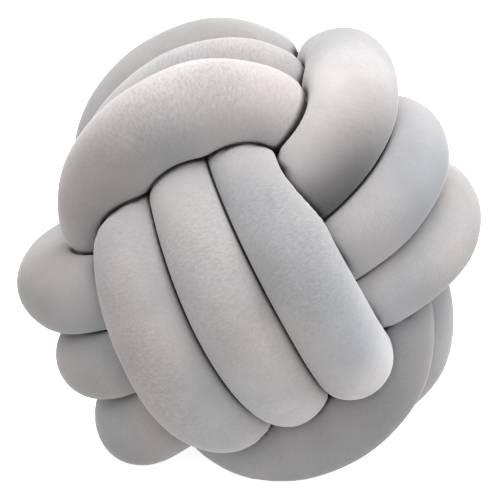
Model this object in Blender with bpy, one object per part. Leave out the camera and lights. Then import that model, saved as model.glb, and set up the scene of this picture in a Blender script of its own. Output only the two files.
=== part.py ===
"""Knot cushion: one filled plush tube, tied into a ball as a three-turn monkey's fist.

The knot is three bands of three wraps, each band across the other two. A band lies on the
outside on two opposite faces of the ball, and passes under the next band on two others. The
tube moves over by one wrap each turn while it is covered, and its two crossings from band to
band and its two tails lie in the hollow in the middle, so one tube makes the whole ball.

Metres, +Z up. The origin is in the middle of the ball's box, on the surface that it stands on.
"""

from collections import namedtuple
from math import pi, radians

import bmesh
import bpy
import numpy as np
from mathutils import Euler

MM = 0.001

# ---- Driving sizes ------------------------------------------------------------------------
TUBE_RADIUS = 27 * MM  # of the filled tube, where nothing presses on it
OUTER_PITCH = 51.5 * MM  # between neighbouring wraps, on a band's outer faces
INNER_PITCH = 32 * MM  # between the same wraps where the next band covers them
OUTER_REACH = 113 * MM  # from the ball's middle to a wrap's centre line, outside
INNER_REACH = 78 * MM  # and where it is covered
TUCK = 5 * MM  # how much nearer the middle a band's two outer wraps are, covered
ROUNDING = 2.45  # 2 makes a wrap an ellipse, more squares it
SHOWN_FADE = 1.5  # how a wrap's own differences fade from the middle of a face to its sides
COVERED_FADE = 4  # and how the tuck fades from the middle of its covered sides
PRESS = 7 * MM  # how far the ball's own weight flattens its foot
CONTACT_GAP = 3 * MM  # kept between wraps that lie against each other
BEND_SHARE = 0.9  # the tube's inner side stays within this share of a bend's radius

# How the knot is turned as it lies: first about X, then Y, then Z.
ATTITUDE = Euler((radians(30.5), radians(4.5), radians(-93.5)))

# ---- How finely the tube is divided -------------------------------------------------------
RINGS = 400
SIDES = 12
ROUTE_POINTS = 1500
ROUTE_STEP_DEG = 4
CURVE_STEPS = 6  # between two points of the route
SOFTENING = 14 * MM  # the filled tube can't bend more sharply than this evens out
SOFTENING_REACH = 3  # times the softening, on each side, is what it takes in
NEIGHBOUR_REACH = 2.4 * TUBE_RADIUS  # tube further away than this doesn't press on a ring
OWN_STRETCH = 105 * MM  # nor does this much of the tube on each side of the ring itself
PRESS_SHARPNESS = 8  # how suddenly a pressed side goes from round to flat
FREE_SHARE = 4  # radii of room, past which nothing presses
NO_LIMIT = 1.0  # metres of room on the outside of a bend
TINY = 1e-9  # keeps a division from meeting zero

# ---- The nine wraps -----------------------------------------------------------------------
# A band is named for the faces on which it is outside. Its axes are the one out of those
# faces, the one that its wraps run along there, and the one that they are stacked along.
# "places" is the order in which the tube fills the stack.
Band = namedtuple("Band", "outward run stack places")
BANDS = {
    "front": Band(outward=0, run=2, stack=1, places=(-1, 0, 1)),
    "top": Band(outward=2, run=1, stack=0, places=(1, 0, -1)),
    "side": Band(outward=1, run=0, stack=2, places=(1, 0, -1)),
}

# How each wrap differs from an even one on the two faces where it shows, in millimetres: its
# crown's height above the ball's middle, its shift along the stack, the lean that adds to the
# shift at one end of the face and takes from it at the other, its slide along its own run,
# and how much fuller the tube is there.
Wrap = namedtuple("Wrap", "band place face crown shift lean slide full")
WRAPS = [
    Wrap("front", -1, +1, 105, -2, 9, -3, -1),
    Wrap("front", 0, +1, 105, -4, 9, -3, 0),
    Wrap("front", 1, +1, 106, -7, 5, -13, -1),
    Wrap("front", -1, -1, 106, -3, 6, 4, 0),
    Wrap("front", 0, -1, 108, -3, 2, 0, 0),
    Wrap("front", 1, -1, 106, -5, -4, 0, 0),
    Wrap("top", -1, +1, 115, -4, -4, 2, -1),
    Wrap("top", 0, +1, 110, -4, -2, 11, 1),
    Wrap("top", 1, +1, 112, 0, -4, 8, 3),
    Wrap("top", -1, -1, 121, 2, 0, 2, 0),
    Wrap("top", 0, -1, 118, 3, 3, 14, 2),
    Wrap("top", 1, -1, 107, 1, 7, -7, 4),
    Wrap("side", -1, +1, 115, 12, -8, -9, -1),
    Wrap("side", 0, +1, 119, 12, -8, 8, 0),
    Wrap("side", 1, +1, 108, 13, -13, 3, 4),
    Wrap("side", -1, -1, 125, -9, -4, -2, 0),
    Wrap("side", 0, -1, 123, -8, 7, 3, -2),
    Wrap("side", 1, -1, 116, -9, 13, -5, 2),
]
SHAPE = {(wrap.band, wrap.place, wrap.face): wrap for wrap in WRAPS}

# ---- The tube's way through the hollow in the middle --------------------------------------
# Points in millimetres from the ball's middle, between one band's covered side and the next.
FIRST_TAIL = [(8, 32, 28), (0, 6, -2), (0, -22, -34), (25, -34, -52)]
FRONT_TO_TOP = [(-25, 38, -48), (21, 29, -21), (36, -4, -2), (40, -40, 23)]
TOP_TO_SIDE = [(-25, -44, -25), (-17, -25, 8), (-27, 0, 32), (-44, 23, 38)]
LAST_TAIL = [(-55, -29, -34), (-34, -2, -24), (-31, 24, -4)]

# A turn is counted in degrees from the middle of a band's first face. The tube comes out of
# the hollow before it and goes back in after the last turn. It moves over by one place
# around the middle of the covered side at 270 degrees.
TURN_IN, TURN_OUT = -60, 240
COVERED_MIDDLE = 270
MOVE_START, MOVE_END = 225, 315


# ---- The tube's centre line ---------------------------------------------------------------
# A line is an array with a row for each point: x, y, z and the tube's free radius there.
def eased(share):
    """0 to 1 with a level start and end."""
    share = np.clip(share, 0, 1)
    return share * share * (3 - 2 * share)


def squared(wave):
    """Turns a circle's sine or cosine into that of a rounded square."""
    return np.sign(wave) * np.abs(wave) ** (2 / ROUNDING)


def wrap_points(name, place, degrees):
    """Points of one closed wrap of a band, by their angles round it."""
    band = BANDS[name]
    near, far = SHAPE[name, place, +1], SHAPE[name, place, -1]
    outward, along = np.cos(np.radians(degrees)), np.sin(np.radians(degrees))
    on_near = np.clip(outward, 0, 1) ** SHOWN_FADE
    on_far = np.clip(-outward, 0, 1) ** SHOWN_FADE
    covered = np.abs(along) ** COVERED_FADE
    pitch = INNER_PITCH + (OUTER_PITCH - INNER_PITCH) * (on_near + on_far)
    points = np.zeros((len(degrees), 4))
    points[:, band.outward] = (
        OUTER_REACH * squared(outward)
        + (near.crown * MM - OUTER_REACH) * on_near
        - (far.crown * MM - OUTER_REACH) * on_far
    )
    points[:, band.run] = (
        (INNER_REACH - TUCK * abs(place) * covered) * squared(along)
        + near.slide * MM * on_near
        + far.slide * MM * on_far
    )
    points[:, band.stack] = (
        place * pitch
        + (near.shift + near.lean * along) * MM * on_near
        + (far.shift + far.lean * along) * MM * on_far
    )
    points[:, 3] = TUBE_RADIUS + near.full * MM * on_near + far.full * MM * on_far
    return points


def band_points(name):
    """The tube's line round one band, from its first wrap to its last."""
    places = BANDS[name].places
    last = len(places) - 1
    turned = np.arange(TURN_IN, 360 * last + TURN_OUT + 1, ROUTE_STEP_DEG)
    turn = np.clip((turned + 360 - COVERED_MIDDLE) // 360, 0, last).astype(int)
    degrees = turned - 360 * turn
    moved = eased((degrees % 360 - MOVE_START) / (MOVE_END - MOVE_START))
    leaving, arriving = degrees > 180, degrees < 0
    points = np.zeros((len(turned), 4))
    for i, place in enumerate(places):
        weight = (turn == i) * 1.0
        weight[(turn == i) & leaving & (i < last)] -= moved[(turn == i) & leaving & (i < last)]
        weight[(turn == i) & arriving & (i > 0)] = moved[(turn == i) & arriving & (i > 0)]
        weight[(turn == i - 1) & leaving] = moved[(turn == i - 1) & leaving]
        weight[(turn == i + 1) & arriving] = 1 - moved[(turn == i + 1) & arriving]
        points += wrap_points(name, place, degrees) * weight[:, None]
    return points


def hollow_points(places):
    """The tube's line through places in the hollow."""
    return np.array([(x * MM, y * MM, z * MM, TUBE_RADIUS) for x, y, z in places])


def curve_through(points):
    """A smooth curve through points at uneven distances (centripetal Catmull-Rom)."""
    ends = np.vstack([2 * points[0] - points[1], points, 2 * points[-1] - points[-2]])
    gaps = np.sqrt(np.linalg.norm(np.diff(ends[:, :3], axis=0), axis=1))
    knots = np.concatenate([[0], np.cumsum(gaps)])
    first = np.arange(len(points) - 1)
    t0, t1, t2, t3 = (knots[first + k][:, None, None] for k in range(4))
    p0, p1, p2, p3 = (ends[first + k][:, None, :] for k in range(4))
    t = t1 + (t2 - t1) * (np.arange(CURVE_STEPS) / CURVE_STEPS)[None, :, None]
    a1 = ((t1 - t) * p0 + (t - t0) * p1) / (t1 - t0)
    a2 = ((t2 - t) * p1 + (t - t1) * p2) / (t2 - t1)
    a3 = ((t3 - t) * p2 + (t - t2) * p3) / (t3 - t2)
    b1 = ((t2 - t) * a1 + (t - t0) * a2) / (t2 - t0)
    b2 = ((t3 - t) * a2 + (t - t1) * a3) / (t3 - t1)
    curve = ((t2 - t) * b1 + (t - t1) * b2) / (t2 - t1)
    return np.vstack([curve.reshape(-1, points.shape[1]), points[-1:]])


def evenly(line, count):
    """The same line with its points at equal distances, and its length."""
    steps = np.linalg.norm(np.diff(line[:, :3], axis=0), axis=1)
    travelled = np.concatenate([[0], np.cumsum(steps)])
    wanted = np.linspace(0, travelled[-1], count)
    even = [np.interp(wanted, travelled, column) for column in line.T]
    return np.stack(even, axis=1), travelled[-1]


def softened(line, spread):
    """The line with its sharper bends evened out; spread is counted in points."""
    reach = int(SOFTENING_REACH * spread) + 1
    weights = np.exp(-0.5 * (np.arange(-reach, reach + 1) / spread) ** 2)
    weights /= weights.sum()
    before = 2 * line[0] - line[reach:0:-1]
    after = 2 * line[-1] - line[-2 : -reach - 2 : -1]
    longer = np.vstack([before, line, after])
    return np.stack([np.convolve(column, weights, "valid") for column in longer.T], axis=1)


def knot_route():
    """The line of the whole tube, from tail to tail, and its length."""
    stretches = [
        hollow_points(FIRST_TAIL),
        band_points("front"),
        hollow_points(FRONT_TO_TOP),
        band_points("top"),
        hollow_points(TOP_TO_SIDE),
        band_points("side"),
        hollow_points(LAST_TAIL),
    ]
    line, length = evenly(curve_through(np.vstack(stretches)), ROUTE_POINTS)
    line = softened(line, SOFTENING / (length / (ROUTE_POINTS - 1)))
    return evenly(line, ROUTE_POINTS)


# ---- The tube's surface -------------------------------------------------------------------
def ring_directions(centres):
    """For each ring, the directions from its centre to its points, with no twist between rings."""
    along = np.gradient(centres, axis=0)
    along /= np.linalg.norm(along, axis=1)[:, None]
    side = np.zeros_like(centres)
    side[0] = np.cross(along[0], (0, 0, 1))
    side[0] /= np.linalg.norm(side[0])
    for i in range(1, len(centres)):
        carried = side[i - 1] - along[i] * (along[i] @ side[i - 1])
        side[i] = carried / np.linalg.norm(carried)
    up = np.cross(along, side)
    turn = np.arange(SIDES) * 2 * pi / SIDES
    return (
        np.cos(turn)[None, :, None] * side[:, None, :]
        + np.sin(turn)[None, :, None] * up[:, None, :]
    )


def bend_room(centres, directions, step):
    """How far each ring may reach into the inside of its own bend."""
    curvature = np.gradient(np.gradient(centres, axis=0), axis=0) / step**2
    inward = np.einsum("nsk,nk->ns", directions, curvature)
    return np.minimum(BEND_SHARE / np.maximum(inward, TINY), NO_LIMIT)


def ring_radii(rings, directions, line, length):
    """Each ring's radii: round, but flat where it presses on a neighbouring wrap."""
    here = np.linspace(0, length, len(rings))
    there = np.linspace(0, length, len(line))
    centres, free = rings[:, :3], rings[:, 3]
    room = bend_room(centres, directions, length / (len(rings) - 1))
    for i, centre in enumerate(centres):
        offsets = line[:, :3] - centre
        distance = np.linalg.norm(offsets, axis=1)
        presses = (distance < NEIGHBOUR_REACH) & (np.abs(there - here[i]) > OWN_STRETCH)
        if not presses.any():
            continue
        offsets, distance = offsets[presses], distance[presses]
        # The two tubes meet where both are pressed in alike, whatever their radii are.
        meeting = (distance**2 + free[i] ** 2 - line[presses, 3] ** 2 - CONTACT_GAP * distance) / 2
        toward = np.maximum(directions[i] @ offsets.T, TINY)
        room[i] = np.minimum(room[i], (meeting / toward).min(axis=1))
    share = np.minimum(room / free[:, None], FREE_SHARE)
    pressed = (1 + share**-PRESS_SHARPNESS) ** (-1 / PRESS_SHARPNESS)
    return free[:, None] * pressed * end_rounding(here, length)[:, None]


def end_rounding(travelled, length):
    """Closes the tube's two ends in a half round."""
    from_end = np.minimum(travelled, length - travelled) / TUBE_RADIUS
    return np.sqrt(1 - (1 - np.minimum(from_end, 1)) ** 2)


def standing(points):
    """Turns the ball as it lies, flattens its foot and puts the origin under its middle."""
    turned = points @ np.array(ATTITUDE.to_matrix()).T
    turned[:, 2] -= turned[:, 2].min() + PRESS
    turned[:, 2] = np.maximum(turned[:, 2], 0)
    middle = (turned.max(axis=0) + turned.min(axis=0)) / 2
    return turned - (middle[0], middle[1], 0)


def knot_tube_mesh():
    """The tube as one closed mesh: rings joined by quads, and a point at each end."""
    line, length = knot_route()
    rings, _ = evenly(line, RINGS)
    directions = ring_directions(rings[:, :3])
    radii = ring_radii(rings, directions, line, length)
    surface = rings[:, None, :3] + directions * radii[:, :, None]
    points = standing(np.vstack([surface[0, :1], surface[1:-1].reshape(-1, 3), surface[-1, :1]]))

    shape = bmesh.new()
    made = [shape.verts.new(point) for point in points]
    first, last = made[0], made[-1]
    rows = [made[1 + i * SIDES : 1 + (i + 1) * SIDES] for i in range(RINGS - 2)]
    for i in range(SIDES):
        j = (i + 1) % SIDES
        shape.faces.new((first, rows[0][j], rows[0][i]))
        shape.faces.new((last, rows[-1][i], rows[-1][j]))
        for row, following in zip(rows, rows[1:]):
            shape.faces.new((row[i], row[j], following[j], following[i]))
    bmesh.ops.recalc_face_normals(shape, faces=shape.faces)
    mesh = bpy.data.meshes.new("knot_tube")
    shape.to_mesh(mesh)
    shape.free()
    mesh.shade_smooth()
    return mesh


# ---- Material and scene -------------------------------------------------------------------
def plush_material():
    """Short grey pile, which scatters light and has no gloss."""
    material = bpy.data.materials.new("grey_plush")
    material.use_nodes = True
    shader = material.node_tree.nodes["Principled BSDF"]
    shader.inputs["Base Color"].default_value = (0.57, 0.56, 0.55, 1)
    shader.inputs["Roughness"].default_value = 0.95
    shader.inputs["Metallic"].default_value = 0.0
    return material


def main():
    for old in list(bpy.data.objects):
        bpy.data.objects.remove(old, do_unlink=True)
    collection = bpy.data.collections.new("knot_cushion")
    bpy.context.scene.collection.children.link(collection)
    mesh = knot_tube_mesh()
    mesh.materials.append(plush_material())
    collection.objects.link(bpy.data.objects.new("knot_tube", mesh))


main()
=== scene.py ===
# %% [markdown]
# # A plush knot cushion
# One long tube of short grey plush is filled with loose fibre and tied into a ball. The knot is a
# monkey's fist: three bands of three wraps, each band lying across the other two. This lesson
# makes the tube as one fine mesh, gives it the look of plush, and lights it softly on a pale floor.

# %% Load the fixed frame
from collections import namedtuple
from math import cos, pi, radians, sin

import bmesh
import bpy
import numpy as np
from mathutils import Euler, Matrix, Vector, noise


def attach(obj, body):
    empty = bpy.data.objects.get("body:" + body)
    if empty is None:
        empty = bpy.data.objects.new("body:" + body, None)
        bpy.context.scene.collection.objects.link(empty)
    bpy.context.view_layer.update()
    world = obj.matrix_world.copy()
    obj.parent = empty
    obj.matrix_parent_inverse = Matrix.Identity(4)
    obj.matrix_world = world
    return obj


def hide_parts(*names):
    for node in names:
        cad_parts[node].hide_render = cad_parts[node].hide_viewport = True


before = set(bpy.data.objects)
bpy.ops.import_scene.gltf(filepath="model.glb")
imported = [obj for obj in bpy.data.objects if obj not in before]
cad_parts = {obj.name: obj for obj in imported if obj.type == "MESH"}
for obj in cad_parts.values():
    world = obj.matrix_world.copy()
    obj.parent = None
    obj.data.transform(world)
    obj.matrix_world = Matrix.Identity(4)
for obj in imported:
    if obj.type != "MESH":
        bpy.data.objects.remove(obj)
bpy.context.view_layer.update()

MM = 0.001

# %% [markdown]
# ## The sizes of the knot
# A filled tube in such a knot is pressed on by its neighbours for all of its length. A cloth
# simulation could make it, but a knot that touches itself everywhere is slow and likely to jam.
# Here the shape is worked out instead: a centre line for the tube first, and then a round section
# that is flattened wherever another stretch of the tube comes too near. The named sizes are those
# of the CAD model, so that the two agree without any fitting.

# %% The driving sizes
TUBE_RADIUS = 27 * MM  # of the filled tube, where nothing presses on it
OUTER_PITCH = 51.5 * MM  # between neighbouring wraps, on a band's outer faces
INNER_PITCH = 32 * MM  # between the same wraps where the next band covers them
OUTER_REACH = 113 * MM  # from the ball's middle to an even wrap's centre line, outside
INNER_REACH = 78 * MM  # and where it is covered
TUCK = 5 * MM  # how much nearer the middle a band's two outer wraps are, covered

print("a band of three wraps is", round(2 * (OUTER_PITCH + TUBE_RADIUS) / MM), "mm wide")

# %% [markdown]
# ## The nine wraps
# A band is named for the faces on which it shows. Its axes are the one out of those faces, the one
# that its wraps run along there and the one that they are stacked along. No two wraps of a real
# cushion are alike, so a table says how each differs from an even one on the two faces where it
# shows, in millimetres: its crown's height, its shift along the stack, the lean that turns it, its
# slide along its own run, and how much fuller the tube is there.

# %% The bands and their wraps
Band = namedtuple("Band", "outward run stack places")
BANDS = {
    "front": Band(outward=0, run=2, stack=1, places=(-1, 0, 1)),
    "top": Band(outward=2, run=1, stack=0, places=(1, 0, -1)),
    "side": Band(outward=1, run=0, stack=2, places=(1, 0, -1)),
}
Wrap = namedtuple("Wrap", "band place face crown shift lean slide full")
WRAPS = [
    Wrap("front", -1, +1, 105, -2, 9, -3, -1),
    Wrap("front", 0, +1, 105, -4, 9, -3, 0),
    Wrap("front", 1, +1, 106, -7, 5, -13, -1),
    Wrap("front", -1, -1, 106, -3, 6, 4, 0),
    Wrap("front", 0, -1, 108, -3, 2, 0, 0),
    Wrap("front", 1, -1, 106, -5, -4, 0, 0),
    Wrap("top", -1, +1, 115, -4, -4, 2, -1),
    Wrap("top", 0, +1, 110, -4, -2, 11, 1),
    Wrap("top", 1, +1, 112, 0, -4, 8, 3),
    Wrap("top", -1, -1, 121, 2, 0, 2, 0),
    Wrap("top", 0, -1, 118, 3, 3, 14, 2),
    Wrap("top", 1, -1, 107, 1, 7, -7, 4),
    Wrap("side", -1, +1, 115, 12, -8, -9, -1),
    Wrap("side", 0, +1, 119, 12, -8, 8, 0),
    Wrap("side", 1, +1, 108, 13, -13, 3, 4),
    Wrap("side", -1, -1, 125, -9, -4, -2, 0),
    Wrap("side", 0, -1, 123, -8, 7, 3, -2),
    Wrap("side", 1, -1, 116, -9, 13, -5, 2),
]
SHAPE = {(wrap.band, wrap.place, wrap.face): wrap for wrap in WRAPS}

print(len(WRAPS), "rows for", len(WRAPS) // 2, "wraps")

# %% [markdown]
# ## The way round a band
# A wrap is a squared circle: the cosine and sine of a turn, each raised to a power that pushes the
# curve out towards its corners. While a wrap is covered by the next band, the tube moves over to
# the next place in the stack, so a band is one line that goes round nearly three times, and not
# three separate rings.

# %% Points round a band
ROUNDING = 2.45  # 2 makes a wrap an ellipse, more squares it
SHOWN_FADE = 1.5  # how a wrap's own differences fade from the middle of a face to its sides
COVERED_FADE = 4  # and how the tuck fades from the middle of its covered sides

# A turn is counted in degrees from the middle of a band's first face.
ROUTE_STEP_DEG = 4
TURN_IN, TURN_OUT = -60, 240  # where the tube comes into its first wrap and leaves its last
COVERED_MIDDLE = 270  # of the side on which it moves over to the next wrap
MOVE_START, MOVE_END = 225, 315  # of that move


def eased(share):
    """0 to 1 with a level start and end."""
    share = np.clip(share, 0, 1)
    return share * share * (3 - 2 * share)


def squared(wave):
    """Turns a circle's sine or cosine into that of a rounded square."""
    return np.sign(wave) * np.abs(wave) ** (2 / ROUNDING)


def wrap_points(name, place, degrees):
    """Points of one closed wrap of a band, by their angles round it: x, y, z and the free radius."""
    band = BANDS[name]
    near, far = SHAPE[name, place, +1], SHAPE[name, place, -1]
    outward, along = np.cos(np.radians(degrees)), np.sin(np.radians(degrees))
    on_near = np.clip(outward, 0, 1) ** SHOWN_FADE
    on_far = np.clip(-outward, 0, 1) ** SHOWN_FADE
    covered = np.abs(along) ** COVERED_FADE
    pitch = INNER_PITCH + (OUTER_PITCH - INNER_PITCH) * (on_near + on_far)
    points = np.zeros((len(degrees), 4))
    points[:, band.outward] = (
        OUTER_REACH * squared(outward)
        + (near.crown * MM - OUTER_REACH) * on_near
        - (far.crown * MM - OUTER_REACH) * on_far
    )
    points[:, band.run] = (
        (INNER_REACH - TUCK * abs(place) * covered) * squared(along)
        + near.slide * MM * on_near
        + far.slide * MM * on_far
    )
    points[:, band.stack] = (
        place * pitch
        + (near.shift + near.lean * along) * MM * on_near
        + (far.shift + far.lean * along) * MM * on_far
    )
    points[:, 3] = TUBE_RADIUS + near.full * MM * on_near + far.full * MM * on_far
    return points


def band_points(name):
    """The tube's line round one band, from its first wrap to its last."""
    places = BANDS[name].places
    last = len(places) - 1
    turned = np.arange(TURN_IN, 360 * last + TURN_OUT + 1, ROUTE_STEP_DEG)
    turn = np.clip((turned + 360 - COVERED_MIDDLE) // 360, 0, last).astype(int)
    degrees = turned - 360 * turn
    moved = eased((degrees % 360 - MOVE_START) / (MOVE_END - MOVE_START))
    leaving, arriving = degrees > 180, degrees < 0
    points = np.zeros((len(turned), 4))
    for i, place in enumerate(places):
        # The share of the line that is in this place: all of it, or less while it moves out or in.
        weight = np.select(
            [
                (turn == i) & leaving & (i < last),
                (turn == i) & arriving & (i > 0),
                turn == i,
                (turn == i - 1) & leaving,
                (turn == i + 1) & arriving,
            ],
            [1 - moved, moved, 1.0, moved, 1 - moved],
            0.0,
        )
        points += wrap_points(name, place, degrees) * weight[:, None]
    return points


print("each band is a line of", len(band_points("front")), "points")

# %% [markdown]
# ## A line that bends as a filled tube does
# A curve through points at uneven distances makes no loops or cusps if each of its stretches lasts
# as long as the square root of its length, which is called centripetal. Points set evenly along
# it can then be averaged with their neighbours, which takes out every bend that is too sharp for a
# filled tube.

# %% Helpers for smooth lines
CURVE_STEPS = 6  # between two points that the curve goes through
SOFTENING_REACH = 3  # times the spread, on each side, is what an average takes in


def curve_through(points):
    """A smooth curve through points at uneven distances, with centripetal knots."""
    ends = np.vstack([2 * points[0] - points[1], points, 2 * points[-1] - points[-2]])
    gaps = np.sqrt(np.linalg.norm(np.diff(ends[:, :3], axis=0), axis=1))
    knots = np.concatenate([[0], np.cumsum(gaps)])
    first = np.arange(len(points) - 1)
    t0, t1, t2, t3 = (knots[first + k][:, None, None] for k in range(4))
    p0, p1, p2, p3 = (ends[first + k][:, None, :] for k in range(4))
    t = t1 + (t2 - t1) * (np.arange(CURVE_STEPS) / CURVE_STEPS)[None, :, None]
    a1 = ((t1 - t) * p0 + (t - t0) * p1) / (t1 - t0)
    a2 = ((t2 - t) * p1 + (t - t1) * p2) / (t2 - t1)
    a3 = ((t3 - t) * p2 + (t - t2) * p3) / (t3 - t2)
    b1 = ((t2 - t) * a1 + (t - t0) * a2) / (t2 - t0)
    b2 = ((t3 - t) * a2 + (t - t1) * a3) / (t3 - t1)
    curve = ((t2 - t) * b1 + (t - t1) * b2) / (t2 - t1)
    return np.vstack([curve.reshape(-1, points.shape[1]), points[-1:]])


def evenly(line, count):
    """The same line with its points at equal distances, and its length."""
    steps = np.linalg.norm(np.diff(line[:, :3], axis=0), axis=1)
    travelled = np.concatenate([[0], np.cumsum(steps)])
    wanted = np.linspace(0, travelled[-1], count)
    even = [np.interp(wanted, travelled, column) for column in line.T]
    return np.stack(even, axis=1), travelled[-1]


def softened(line, spread):
    """The line with its sharper bends evened out; spread is counted in points."""
    reach = int(SOFTENING_REACH * spread) + 1
    weights = np.exp(-0.5 * (np.arange(-reach, reach + 1) / spread) ** 2)
    weights /= weights.sum()
    before = 2 * line[0] - line[reach:0:-1]
    after = 2 * line[-1] - line[-2 : -reach - 2 : -1]
    longer = np.vstack([before, line, after])
    return np.stack([np.convolve(column, weights, "valid") for column in longer.T], axis=1)


print("a curve through 3 places has", len(curve_through(np.eye(3))), "points")

# %% [markdown]
# ## The centre line
# The bands are joined by two crossings, and the tube starts and ends in two tails. In a real
# cushion they are pushed into the hollow in the middle, where nobody sees them. A few given
# places are enough for each of them.

# %% The tube's centre line
ROUTE_POINTS = 1500
SOFTENING = 14 * MM  # the filled tube can't bend more sharply than this evens out

# Places in the hollow, in millimetres from the ball's middle.
FIRST_TAIL = [(8, 32, 28), (0, 6, -2), (0, -22, -34), (25, -34, -52)]
FRONT_TO_TOP = [(-25, 38, -48), (21, 29, -21), (36, -4, -2), (40, -40, 23)]
TOP_TO_SIDE = [(-25, -44, -25), (-17, -25, 8), (-27, 0, 32), (-44, 23, 38)]
LAST_TAIL = [(-55, -29, -34), (-34, -2, -24), (-31, 24, -4)]


def hollow_points(places):
    """The tube's line through places in the hollow."""
    return np.array([(x * MM, y * MM, z * MM, TUBE_RADIUS) for x, y, z in places])


stretches = [
    hollow_points(FIRST_TAIL),
    band_points("front"),
    hollow_points(FRONT_TO_TOP),
    band_points("top"),
    hollow_points(TOP_TO_SIDE),
    band_points("side"),
    hollow_points(LAST_TAIL),
]
route, route_length = evenly(curve_through(np.vstack(stretches)), ROUTE_POINTS)
route = softened(route, SOFTENING / (route_length / (ROUTE_POINTS - 1)))
route, route_length = evenly(route, ROUTE_POINTS)
print("the tube is", round(route_length, 2), "m long and", round(2 * TUBE_RADIUS / MM), "mm thick")

# %% [markdown]
# ## Rings along the tube
# The skin is a mesh of rings strung along the line. Each ring's directions are carried over from
# the ring before it without any twist, so the mesh and the patterns on it run straight along the
# tube.

# %% Rings and their directions
RINGS = 1300
SIDES = 72  # of a ring


def ring_directions(centres, turns):
    """For each ring, the directions from its centre to its points, with no twist between rings."""
    along = np.gradient(centres, axis=0)
    along /= np.linalg.norm(along, axis=1)[:, None]
    side = np.zeros_like(centres)
    side[0] = np.cross(along[0], (0, 0, 1))
    side[0] /= np.linalg.norm(side[0])
    for i in range(1, len(centres)):
        carried = side[i - 1] - along[i] * (along[i] @ side[i - 1])
        side[i] = carried / np.linalg.norm(carried)
    up = np.cross(along, side)
    return (
        np.cos(turns)[None, :, None] * side[:, None, :]
        + np.sin(turns)[None, :, None] * up[:, None, :]
    )


rings, _ = evenly(route, RINGS)
free = rings[:, 3]
ring_gap = route_length / (RINGS - 1)
travelled = np.linspace(0, route_length, RINGS)
ring_turn = np.arange(SIDES) * 2 * pi / SIDES
directions = ring_directions(rings[:, :3], ring_turn)
print("one quad of the tube:", round(ring_gap / MM, 1), "mm along it and",
      round(2 * pi * TUBE_RADIUS / SIDES / MM, 1), "mm round it")

# %% [markdown]
# ## Wraps that press on each other
# A ring's radius is the tube's own, but no more than the room that it has: half way to any other
# stretch of the tube, and less than the radius of its own bend. A smooth minimum of the two makes
# the flats where wraps press on each other, with soft shoulders. The wraps lie nearer each other
# than in the CAD model and their flats are sharper, which a mesh as fine as this one can show.

# %% The room of each ring
CONTACT_GAP = 0.3 * MM  # kept between wraps that lie against each other
NEIGHBOUR_REACH = 2.4 * TUBE_RADIUS  # tube further away than this doesn't press on a ring
OWN_STRETCH = 105 * MM  # nor does this much of the tube on each side of the ring itself
BEND_SHARE = 0.9  # the tube's inner side stays within this share of a bend's radius
BEND_SMOOTHING = 3  # rings over which a bend's sharpness is evened out
NO_LIMIT = 1.0  # metres of room on the outside of a bend
TINY = 1e-9  # keeps a division from meeting zero


def bend_inward(centres):
    """How sharply the line bends towards each of the ring's points, in 1/m."""
    curvature = np.gradient(np.gradient(centres, axis=0), axis=0) / ring_gap**2
    return np.einsum("nsk,nk->ns", directions, curvature)


def ring_room(inward):
    """How far each ring may reach in each direction."""
    room = np.minimum(BEND_SHARE / np.maximum(inward, TINY), NO_LIMIT)
    there = np.linspace(0, route_length, len(route))
    for i, centre in enumerate(rings[:, :3]):
        offsets = route[:, :3] - centre
        distance = np.linalg.norm(offsets, axis=1)
        presses = (distance < NEIGHBOUR_REACH) & (np.abs(there - travelled[i]) > OWN_STRETCH)
        if not presses.any():
            continue
        offsets, distance = offsets[presses], distance[presses]
        # The two tubes meet where both are pressed in alike, whatever their radii are.
        other_free = route[presses, 3]
        meeting = (distance**2 + free[i] ** 2 - other_free**2 - CONTACT_GAP * distance) / 2
        toward = np.maximum(directions[i] @ offsets.T, TINY)
        room[i] = np.minimum(room[i], (meeting / toward).min(axis=1))
    return room


room = ring_room(softened(bend_inward(rings[:, :3]), BEND_SMOOTHING))
print("the ring with the least room has", round(float(room.min()) / MM, 1), "mm on one side")

# %% Press the rings flat
FREE_SHARE = 4  # radii of room, past which nothing presses
PRESS_SHARPNESS = 14  # how suddenly a pressed side goes from round to flat
PRESS_SMOOTHING = 0.8  # rings over which the flats are evened out
CREASE_TOP, CREASE_DEEP = 0.95, 0.9  # shares of the radius left at a crease's lip and deep in it

room_share = np.minimum(room / free[:, None], FREE_SHARE)
pressed = (1 + room_share**-PRESS_SHARPNESS) ** (-1 / PRESS_SHARPNESS)
pressed = softened(pressed, PRESS_SMOOTHING)
from_end = np.minimum(travelled, route_length - travelled) / TUBE_RADIUS
end_round = np.sqrt(1 - (1 - np.minimum(from_end, 1)) ** 2)
radii = free[:, None] * pressed * end_round[:, None]
print("share of the skin that is pressed flat:", round(float((pressed < CREASE_DEEP).mean()), 2))

# %% [markdown]
# ## Uneven filling
# Loose fibre never fills a tube evenly, so a slow noise lifts and lowers the skin by about a
# millimetre where nothing presses on it. Gradient noise does this well, because its swellings are
# all of about one size.

# %% Uneven filling
LUMP_SIZE = 42 * MM  # across one swelling of the filling
LUMP_HEIGHT = 1.1 * MM
LOOSE_FROM = 0.96  # lumps start where a side keeps this share of its radius
LOOSE_WITHIN = 0.03  # and are whole where it keeps so much more


def noise_over(points, size):
    """Smooth noise of about -1 to 1 at each point, whose swellings are about size across."""
    flat = points.reshape(-1, 3) / size
    values = [noise.noise(Vector(point)) for point in flat]
    return np.array(values).reshape(points.shape[:-1])


skin = rings[:, None, :3] + directions * radii[:, :, None]
loose = np.clip((pressed - LOOSE_FROM) / LOOSE_WITHIN, 0, 1)
lumps = LUMP_HEIGHT * noise_over(skin, LUMP_SIZE) * loose
print("lumps up to", round(float(np.abs(lumps).max()) / MM, 2), "mm")
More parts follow.
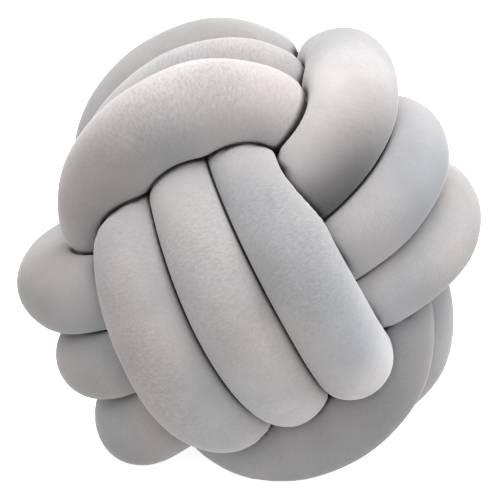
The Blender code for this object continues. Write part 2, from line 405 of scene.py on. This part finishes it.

# %% [markdown]
# ## Small folds
# The cloth has a few short folds, where a wrap goes down between its neighbours. Each is a shallow
# groove across the tube, and a table places them: how many degrees from the middle of the wrap's
# face, how far to one side of the crown (1 is 45 degrees down), how much it slants, and its
# length, width and depth in millimetres.

# %% Small folds
Fold = namedtuple("Fold", "band place face turn side slant length width depth")
FOLDS = [
    Fold("side", 1, -1, 38, 0.9, 0.5, 7, 2.2, 1.0),
    Fold("side", 1, -1, 48, 0.8, -0.2, 6, 2.0, 0.9),
    Fold("side", 1, +1, -38, 0.9, 0.6, 9, 2.6, 1.3),
    Fold("side", -1, +1, 12, 0.6, 0.8, 12, 3.0, 0.8),
    Fold("front", 0, +1, 2, 1.1, -0.6, 6, 2.4, 1.2),
    Fold("front", -1, +1, -10, 0.9, 0.7, 10, 3.0, 0.9),
    Fold("top", 1, +1, -2, 0.5, 0.3, 4, 1.8, 0.5),
]


def spot_on(row):
    """The ring and the outward direction of a place that a table row names."""
    degrees = row.turn if row.face > 0 else 180 - row.turn
    middle = wrap_points(row.band, row.place, np.array([float(degrees)]))[0, :3]
    nearest = np.linalg.norm(rings[:, :3] - middle, axis=1).argmin()
    facing = rings[nearest, :3] / np.linalg.norm(rings[nearest, :3])
    facing[BANDS[row.band].stack] += row.side
    return nearest, facing / np.linalg.norm(facing)


tube_runs = np.gradient(rings[:, :3], axis=0)
grooves = np.zeros((RINGS, SIDES))
for fold in FOLDS:
    nearest, facing = spot_on(fold)
    across = np.cross(tube_runs[nearest], facing)
    across /= np.linalg.norm(across)
    beside = free[nearest] * (directions @ across)
    ahead = travelled[:, None] - travelled[nearest]
    out_of_line = (ahead + fold.slant * beside) / (fold.width * MM)
    out_of_reach = beside / (fold.length * MM)
    near_side = (directions @ facing > 0) & (np.abs(ahead) < OWN_STRETCH)
    shape = np.exp(-0.5 * out_of_line**2 - 0.5 * out_of_reach**2)
    grooves += fold.depth * MM * shape * near_side
radii = radii + (lumps - grooves) * end_round[:, None]
skin = rings[:, None, :3] + directions * radii[:, :, None]
print(len(FOLDS), "folds, up to", round(float(grooves.max()) / MM, 2), "mm deep")

# %% [markdown]
# ## The way the pile lies, and painted light and shade
# Hands and packing leave short pile lying this way and that, and it looks lighter or darker, and
# warmer or cooler, with the way it lies. The table's lightness is only partly that nap: its larger
# values are painted light and painted shade, such as the lit lower ends of the front wraps and the
# dark underside of a side wrap where its neighbours shade it. Each row of the table is one such
# patch of a wrap: how many degrees it is from the middle of the wrap's face, how far it sits to one
# side of the crown (0 is on it, 1 is 45 degrees down), how long it is in millimetres, how many per
# cent lighter it is, and how warm (1) or cool (-1).

# %% Nap patches, with painted light and shade
NapAndPaintedLight = namedtuple("NapAndPaintedLight", "band place face turn side length lighter warmth")
# Painted light and shade: the large lighter and darker values stand in for how the light falls on
# each wrap, the small ones for the nap.
NAP_AND_PAINTED_LIGHT = [
    NapAndPaintedLight("front", -1, +1, -55, 0.0, 45, 17, 0.0),
    NapAndPaintedLight("front", 0, +1, -55, 0.0, 45, 31, -0.5),
    NapAndPaintedLight("front", 1, +1, -60, 0.0, 42, 64, -0.2),
    NapAndPaintedLight("front", -1, +1, 25, 0.0, 60, -4, 0.8),
    NapAndPaintedLight("front", 0, +1, 45, 0.0, 28, 10, 0.8),
    NapAndPaintedLight("front", 1, +1, 0, 0.0, 35, -7, -0.4),
    NapAndPaintedLight("top", 1, +1, -28, 1.8, 50, -42, 0.7),
    NapAndPaintedLight("top", 1, +1, -20, 0.2, 65, 38, 0.2),
    NapAndPaintedLight("top", 1, +1, 25, 0.4, 50, 12, 0.5),
    NapAndPaintedLight("top", 0, +1, 0, 0.0, 90, 7, 0.0),
    NapAndPaintedLight("top", -1, +1, 0, 0.0, 120, -21, 0.4),
    NapAndPaintedLight("side", 1, +1, 56, -0.9, 30, -75, 0.0),
    NapAndPaintedLight("side", 1, +1, 14, 0.4, 27, 42, 0.3),
    NapAndPaintedLight("side", 1, +1, -30, 0.8, 50, -24, 0.0),
    NapAndPaintedLight("side", 1, +1, -5, -0.7, 40, -9, 0.0),
    NapAndPaintedLight("side", 0, +1, 20, -0.5, 70, -12, -0.5),
    NapAndPaintedLight("side", 0, +1, -35, 0.3, 45, -10, 0.4),
    NapAndPaintedLight("side", -1, +1, 0, 0.0, 60, -6, 0.1),
    NapAndPaintedLight("side", 1, -1, 20, 0.5, 60, -19, 0.9),
    NapAndPaintedLight("side", 0, -1, 30, 0.0, 60, -12, 0.9),
    NapAndPaintedLight("side", -1, -1, 30, 0.0, 60, -26, 0.8),
    NapAndPaintedLight("top", 1, -1, 15, 1.0, 80, -21, -0.7),
    NapAndPaintedLight("top", 1, -1, 48, 0.3, 35, -16, 0.2),
    NapAndPaintedLight("top", 0, -1, 40, 0.5, 60, 5, 0.0),
]
PATCH_FADE = 1.5  # how a patch fades round the tube, from its middle to the far side


def patch_weight(row):
    """How far each point of the skin belongs to the patch of a table row, 0 to 1."""
    nearest, facing = spot_on(row)
    along = np.exp(-0.5 * ((travelled - travelled[nearest]) / (row.length * MM)) ** 2)
    return along[:, None] * np.clip(directions @ facing, 0, 1) ** PATCH_FADE


# The patches' lightness, painted light and shade mixed with the nap, and their warmth.
nap_and_painted_light_and_shade = np.ones((RINGS, SIDES))
brushed_warmth = np.zeros((RINGS, SIDES))
for patch in NAP_AND_PAINTED_LIGHT:
    weight = patch_weight(patch)
    nap_and_painted_light_and_shade *= 1 + patch.lighter / 100 * weight
    brushed_warmth += patch.warmth * weight
print("the pile is from", round(float(nap_and_painted_light_and_shade.min()), 2), "to",
      round(float(nap_and_painted_light_and_shade.max()), 2), "of its own lightness")

# %% [markdown]
# ## Brush marks
# In some places the pile is ruffled rather than smoothed, and fine wavy marks show there. A second
# table of the same kind names these places. The marks themselves are drawn by the material.

# %% Places with brush marks
Marked = namedtuple("Marked", "band place face turn side length")
MARKED = [
    Marked("front", -1, +1, 5, 0.0, 45),
    Marked("front", 0, +1, 15, 0.0, 45),
    Marked("front", 1, +1, 20, 0.0, 45),
    Marked("front", 0, -1, -15, 0.0, 60),
    Marked("front", 1, -1, 20, 0.0, 50),
    Marked("top", 1, +1, 5, 0.2, 60),
    Marked("top", 0, +1, 20, 0.0, 50),
    Marked("side", 0, -1, -10, 0.0, 60),
]

marked = np.minimum(sum(patch_weight(patch) for patch in MARKED), 1)
print("share of the skin with these brush marks:", round(float(marked.mean()), 2))

# %% [markdown]
# ## The foot
# The ball is turned to lie as in the picture. A filled cushion doesn't stand on a point: its own
# weight presses it flat against the floor, so the lowest few millimetres are levelled.

# %% Stand the ball on its foot
ATTITUDE = Euler((radians(30.5), radians(4.5), radians(-93.5)))  # how the knot lies
PRESS = 7 * MM  # how far the ball's own weight flattens its foot


def on_mesh(values):
    """One value for each point of the mesh, where the first and the last ring are one point each."""
    between = values[1:-1].reshape(-1, *values.shape[2:])
    return np.concatenate([values[0, :1], between, values[-1, :1]])


def standing(points):
    """Turns the ball as it lies and flattens its foot. Also gives the place of the knot's middle."""
    turned = points @ np.array(ATTITUDE.to_matrix()).T
    floor_height = turned[:, 2].min() + PRESS
    turned[:, 2] = np.maximum(turned[:, 2] - floor_height, 0)
    middle = (turned.max(axis=0) + turned.min(axis=0)) / 2
    shift = np.array((middle[0], middle[1], 0))
    return turned - shift, Vector((-middle[0], -middle[1], -floor_height))


points, knot_middle = standing(on_mesh(skin))
print("points in the foot:", int((points[:, 2] == 0).sum()), "of", len(points))

# %% [markdown]
# ## The mesh
# The rings are joined by quads and each end of the tube closes in a point, so the tube is one
# closed skin with no seam.

# %% Make the tube's mesh
first = 1 + np.arange(RINGS - 3)[:, None] * SIDES
here = np.arange(SIDES)[None, :]
after = (here + 1) % SIDES
quads = np.stack([first + here, first + after, first + SIDES + after, first + SIDES + here], axis=2)
last_ring, end_point = 1 + (RINGS - 3) * SIDES, len(points) - 1
caps = [(0, 1 + (i + 1) % SIDES, 1 + i) for i in range(SIDES)]
caps += [(end_point, last_ring + i, last_ring + (i + 1) % SIDES) for i in range(SIDES)]

mesh = bpy.data.meshes.new("plush_tube")
mesh.from_pydata(points.tolist(), [], quads.reshape(-1, 4).tolist() + caps)
mesh.validate()
mesh.shade_smooth()
tube = bpy.data.objects.new("plush_tube", mesh)
bpy.context.scene.collection.objects.link(tube)

checked = bmesh.new()
checked.from_mesh(mesh)
litres = checked.calc_volume(signed=True) * 1000
checked.free()
print(len(mesh.polygons), "faces round", round(litres, 2), "litres; above 0, all of them face out")

# %% [markdown]
# ## What the material needs to know
# A mesh can carry values of its own on its points, and a material can read them. Five are stored:
# the place of each point on a tube pulled straight, which lets a pattern follow the tube with no
# seam, how deep in a crease it is, which sets the painted shade there, how light its patch looks,
# partly from the nap and partly as painted light and shade, how warm its patch of the pile looks,
# and how much the brush marks show.

# %% Store values on the mesh
straight = np.zeros((RINGS, SIDES, 3))
straight[:, :, 0] = travelled[:, None]
straight[:, :, 1] = TUBE_RADIUS * np.cos(ring_turn)
straight[:, :, 2] = TUBE_RADIUS * np.sin(ring_turn)
on_tube = mesh.attributes.new("straight", "FLOAT_VECTOR", "POINT")
on_tube.data.foreach_set("vector", on_mesh(straight).astype(np.float32).ravel())

for name, values in (
    # painted shade: how deep each point lies in a crease between wraps, where the pile is darkened
    ("painted_crease_shade", np.clip((CREASE_TOP - pressed) / (CREASE_TOP - CREASE_DEEP), 0, 1)),
    ("nap_and_painted_light_and_shade", nap_and_painted_light_and_shade),
    ("brushed_warmth", brushed_warmth),
    ("marked", marked),
):
    layer = mesh.attributes.new(name, "FLOAT", "POINT")
    layer.data.foreach_set("value", on_mesh(values).astype(np.float32))
    print(name, "is from", round(float(values.min()), 2), "to", round(float(values.max()), 2))

# %% [markdown]
# ## Two helpers for materials
# A colour picked from a colour chart is an sRGB value, and a shader wants linear light. One
# function turns a hex colour into that, so every colour in the file can be written as a hex value.
# Another adds a shader node, sets it and links it in one call, which keeps a material readable.

# %% Helpers for colours and nodes
def linear(hex_colour):
    """An sRGB hex colour as linear red, green, blue and alpha."""
    parts = [int(hex_colour[i : i + 2], 16) / 255 for i in (1, 3, 5)]
    return (*(p / 12.92 if p <= 0.04045 else ((p + 0.055) / 1.055) ** 2.4 for p in parts), 1.0)


def add_node(tree, kind, inputs, **settings):
    """Adds a node. An input is given by its name or place, as a value or as another node's output."""
    node = tree.nodes.new(kind)
    for name, value in settings.items():
        setattr(node, name, value)
    for key, value in inputs.items():
        if isinstance(value, bpy.types.NodeSocket):
            tree.links.new(value, node.inputs[key])
        else:
            node.inputs[key].default_value = value
    return node


print("mid grey #808080 in linear light:", round(linear("#808080")[0], 3))

# %% [markdown]
# ## Plush
# Short-pile plush is a knit of polyester whose fibres stand up a millimetre or two. It has no
# gloss. Fibre tips catch light that grazes them, so every edge that turns away has a pale rim:
# that is the shader's sheen. Where the pile has been brushed one way or another it looks a little
# warmer or cooler and lighter or darker, in patches of some centimetres and in fine wavy marks.
# The patches are noise in the ball's own space. The marks are noise along the straight tube, so
# that they run across it.

# %% Patterns of the plush
PATCH_SIZE = 75 * MM  # across a warmer or cooler patch
NAP_SIZE = 38 * MM  # across a patch whose nap lies one way
MARK_AREA = 45 * MM  # across a place where the marks show
MARK_LENGTH = 3.0 * MM  # of a brush mark, which runs across the tube
MARK_WIDTH = 0.9 * MM
MARK_WAVINESS = 0.9
PILE_GRAIN = 1.3 * MM  # the real fibres are too fine to show, so they are drawn coarser

plush = bpy.data.materials.new("grey_plush")
plush.use_nodes = True
pile = plush.node_tree
stored = {
    name: add_node(pile, "ShaderNodeAttribute", {}, attribute_name=name).outputs
    for name in ("straight", "painted_crease_shade", "nap_and_painted_light_and_shade", "brushed_warmth", "marked")
}
position = add_node(pile, "ShaderNodeTexCoord", {}).outputs["Object"]

# Each pattern, the size of its swellings and how much fine detail they have.
patterns = {}
for name, size, detail in (
    ("patches", PATCH_SIZE, 1.0),
    ("nap", NAP_SIZE, 3.0),
    ("mark_area", MARK_AREA, 1.0),
    ("grain", PILE_GRAIN, 2.0),
):
    node = add_node(
        pile, "ShaderNodeTexNoise", {"Vector": position, "Scale": 1 / size, "Detail": detail}
    )
    patterns[name] = node.outputs["Fac"]

mark_scale = (1 / MARK_WIDTH, 1 / MARK_LENGTH, 1 / MARK_LENGTH)
stretch = add_node(
    pile, "ShaderNodeMapping", {"Vector": stored["straight"]["Vector"], "Scale": mark_scale}
).outputs["Vector"]
marks = add_node(
    pile,
    "ShaderNodeTexNoise",
    {"Vector": stretch, "Scale": 1.0, "Detail": 2.0, "Distortion": MARK_WAVINESS},
)
patterns["marks"] = marks.outputs["Fac"]
print("patterns:", list(patterns))

# %% [markdown]
# ## The pile's colour
# Two greys, a warm and a cool one, are mixed by the patches. Every other difference makes the
# result lighter or darker, so it is multiplied in: the nap, the patch table with its painted light
# and shade, the brush marks and the painted shade in the creases. A noise texture hardly ever
# leaves its middle range, so its values are spread first, with soft ends.

# %% The pile's colour
PILE_WARM = "#B8B3B2"
PILE_COOL = "#B2B3B6"
NOISE_RANGE = (0.3, 0.7)  # the low and high ends of a noise that count
TINT_RANGE = (0.2, 0.8)  # how warm its patches get, from 0, all cool, to 1, all warm
BRUSHED_WARMTH = 0.5  # and how far a row of the table moves that
NAP_SHADES = (0.94, 1.05)  # how much darker or lighter the nap looks
MARK_SHADES = (0.87, 1.06)
AREA_RANGE = (0.42, 0.62)  # the same for the noise that says where the marks show
MARKED_ANYWHERE = (0.15, 0.5)  # how far the marks show outside the places of the table
MARKED_MORE = 0.7  # and what those places add
# Painted shade: deep in a crease between two wraps, where shade falls, the pile's colour is darkened
# to this share.
PAINTED_CREASE_SHADE = 0.1  # of the pile's lightness, deep between two wraps

# Each value, the low and high ends of it that count, and what it is turned into at those ends.
ranges = {
    "tint": (patterns["patches"], *NOISE_RANGE, *TINT_RANGE),
    "nap": (patterns["nap"], *NOISE_RANGE, *NAP_SHADES),
    "marks": (patterns["marks"], *NOISE_RANGE, *MARK_SHADES),
    "marked": (patterns["mark_area"], *AREA_RANGE, *MARKED_ANYWHERE),
    "painted_crease_shade": (stored["painted_crease_shade"]["Fac"], 0.0, 1.0, 1.0, PAINTED_CREASE_SHADE),
}
spread = {}
for name, (value, low, high, at_low, at_high) in ranges.items():
    limits = {"From Min": low, "From Max": high, "To Min": at_low, "To Max": at_high}
    node = add_node(
        pile, "ShaderNodeMapRange", {"Value": value, **limits}, interpolation_type="SMOOTHSTEP"
    )
    spread[name] = node.outputs["Result"]

# What the tables say is added to what the noise says.
sums = {}
for name, from_table, share, from_noise in (
    ("warmer", stored["brushed_warmth"]["Fac"], BRUSHED_WARMTH, spread["tint"]),
    ("showing", stored["marked"]["Fac"], MARKED_MORE, spread["marked"]),
):
    node = add_node(
        pile,
        "ShaderNodeMath",
        {0: from_table, 1: share, 2: from_noise},
        operation="MULTIPLY_ADD",
        use_clamp=True,
    )
    sums[name] = node.outputs["Value"]

greys = {6: linear(PILE_COOL), 7: linear(PILE_WARM)}
tint = add_node(pile, "ShaderNodeMix", {"Factor": sums["warmer"], **greys}, data_type="RGBA")

# Each shade darkens or lightens the colour, the marks only as far as they show there. The patch
# table's shade is partly painted light and shade, and the crease's is painted shade.
colour = tint.outputs[2]
for share, shade in (
    (1.0, spread["nap"]),
    (1.0, stored["nap_and_painted_light_and_shade"]["Fac"]),
    (sums["showing"], spread["marks"]),
    (1.0, spread["painted_crease_shade"]),
):
    shaded = add_node(
        pile,
        "ShaderNodeMix",
        {"Factor": share, 6: colour, 7: shade},
        data_type="RGBA",
        blend_type="MULTIPLY",
    )
    colour = shaded.outputs[2]
print("colour nodes so far:", len(pile.nodes))

# %% [markdown]
# ## The pile's relief and sheen
# Bump nodes are enough for the grain and the marks, which stand up by less than half a millimetre.
# The shader is rough and hardly reflects, and its sheen gives the pale rims.

# %% The plush shader
GRAIN_HEIGHT = 0.4 * MM
GRAIN_STRENGTH = 0.2
MARK_HEIGHT = 0.2 * MM

grain_bump = add_node(
    pile,
    "ShaderNodeBump",
    {"Height": patterns["grain"], "Strength": GRAIN_STRENGTH, "Distance": GRAIN_HEIGHT},
)
mark_bump = add_node(
    pile,
    "ShaderNodeBump",
    {
        "Height": patterns["marks"],
        "Normal": grain_bump.outputs["Normal"],
        "Strength": sums["showing"],
        "Distance": MARK_HEIGHT,
    },
)
plush_shader = pile.nodes["Principled BSDF"]
pile.links.new(colour, plush_shader.inputs["Base Color"])
pile.links.new(mark_bump.outputs["Normal"], plush_shader.inputs["Normal"])
plush_shader.inputs["Roughness"].default_value = 0.95
plush_shader.inputs["Diffuse Roughness"].default_value = 1.0
plush_shader.inputs["Specular IOR Level"].default_value = 0.2
plush_shader.inputs["Sheen Weight"].default_value = 0.5
plush_shader.inputs["Sheen Roughness"].default_value = 0.18
plush_shader.inputs["Sheen Tint"].default_value = linear("#FFFFFF")
mesh.materials.append(plush)
print("plush nodes:", len(pile.nodes))

# %% [markdown]
# ## The piece in the frame
# The tube rides on the model's one body, and stands for the plain CAD solid of the same shape.

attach(tube, "root")
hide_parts("knot_tube")
corners = np.array([vertex.co for vertex in mesh.vertices])
print("tube's box, metres:", corners.min(axis=0).round(4), corners.max(axis=0).round(4))

# %% [markdown]
# ## The cove
# A product picture like this is taken in a cove: a floor that curves up into a wall, so that no
# edge shows behind the object. It is a profile turned round the ball. The picture has a pure white
# ground and hardly any shadow, as on a floor of lit white acrylic, so the cove glows a little. It
# doesn't throw light back on the ball, because the light tent of the next step does that part.

# %% The cove's mesh
COVE_FLAT = 4.0  # metres of flat floor round the ball
COVE_BEND = 2.0  # and the radius of its curve up into the wall
COVE_TOP = 6.0  # the wall's height
COVE_SIDES = 96
COVE_BEND_STEPS = 12

bend_turn = np.radians(np.linspace(0, 90, COVE_BEND_STEPS + 1))
profile = [(0.0, 0.0)]
profile += [(COVE_FLAT + COVE_BEND * sin(a), COVE_BEND * (1 - cos(a))) for a in bend_turn]
profile += [(COVE_FLAT + COVE_BEND, COVE_TOP)]
cove_turn = [2 * pi * i / COVE_SIDES for i in range(COVE_SIDES)]
cove_points = [(0, 0, 0)]
cove_points += [(r * cos(a), r * sin(a), z) for r, z in profile[1:] for a in cove_turn]
cove_faces = []
for i in range(COVE_SIDES):
    j = (i + 1) % COVE_SIDES
    cove_faces.append((0, 1 + i, 1 + j))
    for row in range(len(profile) - 2):
        low, high = 1 + row * COVE_SIDES, 1 + (row + 1) * COVE_SIDES
        cove_faces.append((low + i, high + i, high + j, low + j))

cove_mesh = bpy.data.meshes.new("cove")
cove_mesh.from_pydata(cove_points, [], cove_faces)
cove_mesh.shade_smooth()
cove = bpy.data.objects.new("cove", cove_mesh)
bpy.context.scene.collection.objects.link(cove)
print("cove:", len(cove_faces), "faces")

# %% The cove's white acrylic
COVE_WHITE = "#FAFAFA"
COVE_GLOW = 0.8

acrylic = bpy.data.materials.new("white_acrylic")
acrylic.use_nodes = True
acrylic_shader = acrylic.node_tree.nodes["Principled BSDF"]
acrylic_shader.inputs["Base Color"].default_value = linear(COVE_WHITE)
acrylic_shader.inputs["Roughness"].default_value = 1.0
acrylic_shader.inputs["Specular IOR Level"].default_value = 0.0
acrylic_shader.inputs["Emission Color"].default_value = linear(COVE_WHITE)
acrylic_shader.inputs["Emission Strength"].default_value = COVE_GLOW
cove_mesh.materials.append(acrylic)
cove.visible_diffuse = False
cove.visible_shadow = False
print("the cove glows at", COVE_GLOW)

# %% [markdown]
# ## The light tent
# The wraps' tops are nearly white and their undersides a middle grey, so most of the light comes
# from above. The world is a tent that glows most overhead, hardly at all from the sides, and from
# below as much as a pale floor would.

# %% The light tent
ZENITH_GLOW = 2.0
HORIZON_GLOW = 0.08
FLOOR_GLOW = 0.6
FLOOR_FADE = 0.1  # its glow fades out from this far below the horizon to as far above it

tent = bpy.data.worlds.new("light_tent")
bpy.context.scene.world = tent
tent.use_nodes = True
glow = tent.node_tree
direction = add_node(glow, "ShaderNodeTexCoord", {}).outputs["Generated"]
height = add_node(glow, "ShaderNodeSeparateXYZ", {"Vector": direction}).outputs["Z"]
over = {"From Min": 0.0, "From Max": 1.0, "To Min": HORIZON_GLOW, "To Max": ZENITH_GLOW}
under = {"From Min": -FLOOR_FADE, "From Max": FLOOR_FADE, "To Min": FLOOR_GLOW, "To Max": 0.0}
sky = add_node(glow, "ShaderNodeMapRange", {"Value": height, **over}).outputs["Result"]
ground = add_node(glow, "ShaderNodeMapRange", {"Value": height, **under}).outputs["Result"]
both = add_node(glow, "ShaderNodeMath", {0: sky, 1: ground}, operation="ADD").outputs["Value"]
glow.nodes["Background"].inputs["Color"].default_value = linear("#FFFFFF")
glow.links.new(both, glow.nodes["Background"].inputs["Strength"])
print("light from above", ZENITH_GLOW, "from the horizon", HORIZON_GLOW, "from below", FLOOR_GLOW)

# %% [markdown]
# ## The lamps
# A tent alone leaves a soft thing flat. One soft box overhead on the right sharpens the tops a
# little, and a weaker one low in front keeps the face of the ball from falling dark.

# %% The soft boxes
SOFT_BOX_SIZE = 1.0  # metres


def soft_box(name, place, power):
    """A square lamp, turned to shine at the ball. Its place is in metres, its power in watts."""
    data = bpy.data.lights.new(name, "AREA")
    data.size = SOFT_BOX_SIZE
    data.energy = power
    lamp = bpy.data.objects.new(name, data)
    lamp.location = place
    lamp.rotation_euler = (knot_middle - Vector(place)).to_track_quat("-Z", "Y").to_euler()
    bpy.context.scene.collection.objects.link(lamp)
    print(name, "shines at", power, "W from", place)


soft_box("overhead", place=(0.45, -0.1, 1.7), power=19.0)
soft_box("front_right", place=(0.8, -1.5, 0.3), power=5.0)

# %% [markdown]
# ## The camera
# The picture was taken with a long lens, from a little above. The camera looks at the knot's
# middle, and a very small shift puts the ball where it is in the frame.

# %% The camera
CAMERA_DISTANCE = 1.353  # metres
CAMERA_ELEVATION = radians(17.5)
SENSOR_MM = 36
LENS_MM = 153
SHIFT_X, SHIFT_Y = -0.004, -0.001

camera_data = bpy.data.cameras.new("camera")
camera_data.sensor_width = SENSOR_MM
camera_data.lens = LENS_MM
camera_data.shift_x, camera_data.shift_y = SHIFT_X, SHIFT_Y
camera = bpy.data.objects.new("camera", camera_data)
away = Vector((0, -cos(CAMERA_ELEVATION), sin(CAMERA_ELEVATION)))
camera.location = knot_middle + away * CAMERA_DISTANCE
camera.rotation_euler = (-away).to_track_quat("-Z", "Y").to_euler()
bpy.context.scene.collection.objects.link(camera)
bpy.context.scene.camera = camera
bpy.context.scene.view_settings.view_transform = "Standard"
print("camera at", [round(x, 3) for x in camera.location])
